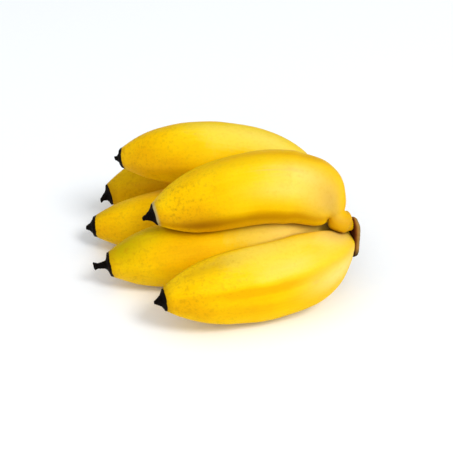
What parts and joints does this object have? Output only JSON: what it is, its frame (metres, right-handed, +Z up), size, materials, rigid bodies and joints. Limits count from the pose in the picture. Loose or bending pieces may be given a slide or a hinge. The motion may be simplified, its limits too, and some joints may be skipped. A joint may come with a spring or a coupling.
{
  "type": "apple banana",
  "caption": "Hand of short, plump ripe bananas joined at a dried, cut crown, some lying on the others, each with a dry flower end.",
  "frame": {"origin": "on the surface that the hand lies on, under the middle of its bounding box", "axes": "+X towards the crown, +Z up, -Y the side that the picture shows"},
  "size_m": [0.1453, 0.152, 0.0758],
  "materials": {
    "peel": "waxy, soft sheen",
    "dry_flower": "dry, fibrous",
    "cut_crown": "dry, fibrous"
  },
  "bodies": {
    "root": {"banana_lower_1": "peel", "banana_lower_2": "peel", "banana_lower_3": "peel", "banana_lower_4": "peel", "banana_upper_1": "peel", "banana_upper_2": "peel", "dry_tip_lower_1": "dry_flower", "dry_tip_lower_2": "dry_flower", "dry_tip_lower_3": "dry_flower", "dry_tip_lower_4": "dry_flower", "dry_tip_upper_1": "dry_flower", "dry_tip_upper_2": "dry_flower", "crown": "cut_crown"}
  },
  "joints": []
}
